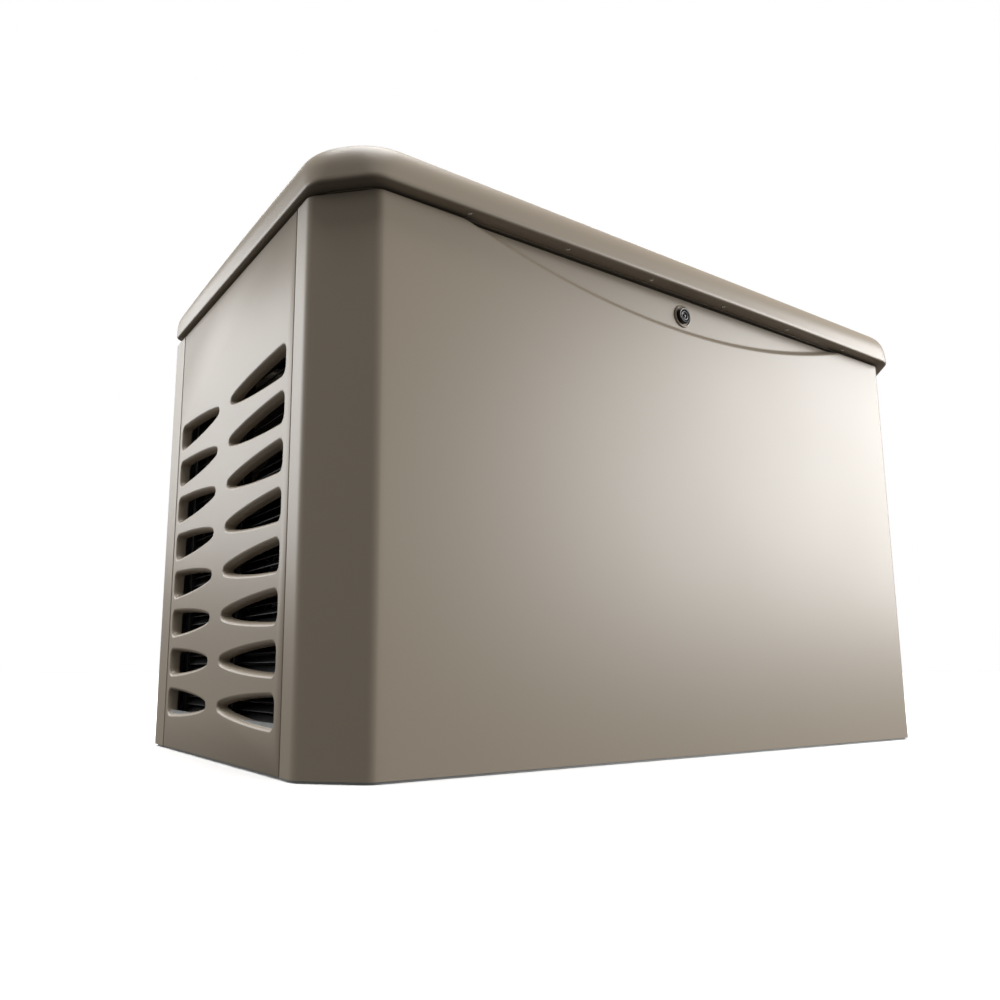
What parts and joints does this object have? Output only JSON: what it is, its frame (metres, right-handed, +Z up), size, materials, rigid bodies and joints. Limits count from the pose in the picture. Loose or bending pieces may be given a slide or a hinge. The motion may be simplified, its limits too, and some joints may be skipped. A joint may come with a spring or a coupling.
{
  "type": "home standby generator",
  "caption": "Free-standing home standby generator: moulded cabinet with hinged roof, lift-off front, V-twin engine and alternator, battery, controls and fuel train.",
  "frame": {"origin": "on the ground under the middle of the whole object", "axes": "X along the length with the air intake end at -X, -Y to the front, +Z up"},
  "size_m": [1.219, 0.666, 0.75],
  "materials": {
    "panel_taupe": "satin moulded polymer, warm grey-beige",
    "black_plastic": "matt black",
    "galvanised": "galvanised sheet",
    "black_steel": "black powder coat",
    "cast_aluminium": "as cast",
    "machined_steel": "machined",
    "cast_iron": "as cast",
    "copper": "enamelled copper",
    "laminated_steel": "stacked laminations",
    "exhaust_steel": "heat-tinted aluminised steel",
    "rubber": "matt",
    "foam": "open-cell foam",
    "oil_filter_paint": "gloss white",
    "battery_case": "moulded",
    "zinc": "bright zinc",
    "display_glass": "dark window",
    "green_plastic": "gloss",
    "grey_plastic": "gloss",
    "red_plastic": "gloss",
    "yellow_plastic": "gloss",
    "ceramic": "glazed ceramic"
  },
  "bodies": {
    "cabinet": {"base_pan": "galvanised", "corner_posts": "galvanised", "top_rails": "galvanised", "left_end_panel": "panel_taupe", "right_end_panel": "panel_taupe", "rear_panel": "panel_taupe", "roof_seal": "rubber", "hinge_frame_leaves": "zinc", "engine_cradle": "black_steel", "rubber_mounts": "rubber", "crankcase": "cast_aluminium", "oil_filter": "oil_filter_paint", "blower_housing": "black_steel", "starter_motor": "black_steel", "front_cylinder": "cast_aluminium", "front_head": "cast_aluminium", "front_rocker_cover": "black_steel", "rear_cylinder": "cast_aluminium", "rear_head": "cast_aluminium", "rear_rocker_cover": "black_steel", "spark_plugs": "ceramic", "exhaust_pipes": "exhaust_steel", "intake_manifold": "cast_aluminium", "throttle_body": "cast_aluminium", "air_cleaner_base": "black_plastic", "air_cleaner_cover": "black_plastic", "muffler": "exhaust_steel", "muffler_stands": "galvanised", "alternator_adapter": "cast_aluminium", "alternator_stator": "laminated_steel", "stator_windings": "copper", "end_bracket": "cast_aluminium", "fuel_inlet_valve": "machined_steel", "fuel_regulator": "cast_aluminium", "fuel_hoses": "rubber", "battery": "battery_case", "battery_cables": "rubber", "control_shelf": "galvanised", "controller_case": "grey_plastic", "controller_display": "display_glass", "breaker_body": "black_plastic", "intake_grille": "black_plastic"},
    "front_cover": {"front_panel": "panel_taupe", "lock_body": "black_plastic"},
    "lock_plug": {"lock_plug": "zinc"},
    "roof": {"roof_lid": "panel_taupe", "lip_rivets": "zinc", "roof_foam": "foam", "hinge_roof_leaves": "zinc", "roof_striker": "zinc"},
    "crank": {"crankshaft": "machined_steel", "flywheel_fan": "cast_aluminium", "alternator_rotor": "laminated_steel"},
    "starter_pinion": {"starter_pinion": "machined_steel"},
    "throttle": {"throttle_plate": "machined_steel"},
    "dipstick": {"dipstick": "yellow_plastic"},
    "run_button": {"run_button": "green_plastic"},
    "test_button": {"test_button": "grey_plastic"},
    "stop_button": {"stop_button": "red_plastic"},
    "breaker_lever": {"breaker_lever": "black_plastic"}
  },
  "joints": [
    {"name": "front_cover_slide", "type": "slide", "parent": "cabinet", "child": "front_cover", "axis": [0, -1, 0], "range_m": [0, 0.25]},
    {"name": "lock_turn", "type": "hinge", "parent": "front_cover", "child": "lock_plug", "pos_m": [0, -0.29, 0.664], "axis": [0, 1, 0], "range_deg": [0, 90]},
    {"name": "roof_hinge", "type": "hinge", "parent": "cabinet", "child": "roof", "pos_m": [0, 0.324, 0.698], "axis": [-1, 0, 0], "range_deg": [0, 95]},
    {"name": "crank_spin", "type": "hinge", "parent": "cabinet", "child": "crank", "pos_m": [0, 0.02, 0.25], "axis": [1, 0, 0], "continuous": true},
    {"name": "starter_spin", "type": "hinge", "parent": "cabinet", "child": "starter_pinion", "pos_m": [-0.43, -0.145, 0.25], "axis": [1, 0, 0], "continuous": true},
    {"name": "throttle_turn", "type": "hinge", "parent": "cabinet", "child": "throttle", "pos_m": [-0.315, 0.02, 0.48638], "axis": [1, 0, 0], "range_deg": [0, 75], "stiffness_Nm_per_rad": 0.05, "springref_deg": -17.19},
    {"name": "dipstick_slide", "type": "slide", "parent": "cabinet", "child": "dipstick", "axis": [0, 0, 1], "range_m": [0, 0.06]},
    {"name": "run_button_press", "type": "slide", "parent": "cabinet", "child": "run_button", "axis": [0, 0, -1], "range_m": [0, 0.0025], "stiffness_N_per_m": 400},
    {"name": "test_button_press", "type": "slide", "parent": "cabinet", "child": "test_button", "axis": [0, 0, -1], "range_m": [0, 0.0025], "stiffness_N_per_m": 400},
    {"name": "stop_button_press", "type": "slide", "parent": "cabinet", "child": "stop_button", "axis": [0, 0, -1], "range_m": [0, 0.0025], "stiffness_N_per_m": 400},
    {"name": "breaker_throw", "type": "hinge", "parent": "cabinet", "child": "breaker_lever", "pos_m": [0.245, -0.215, 0.632], "axis": [1, 0, 0], "range_deg": [-25, 25]}
  ]
}
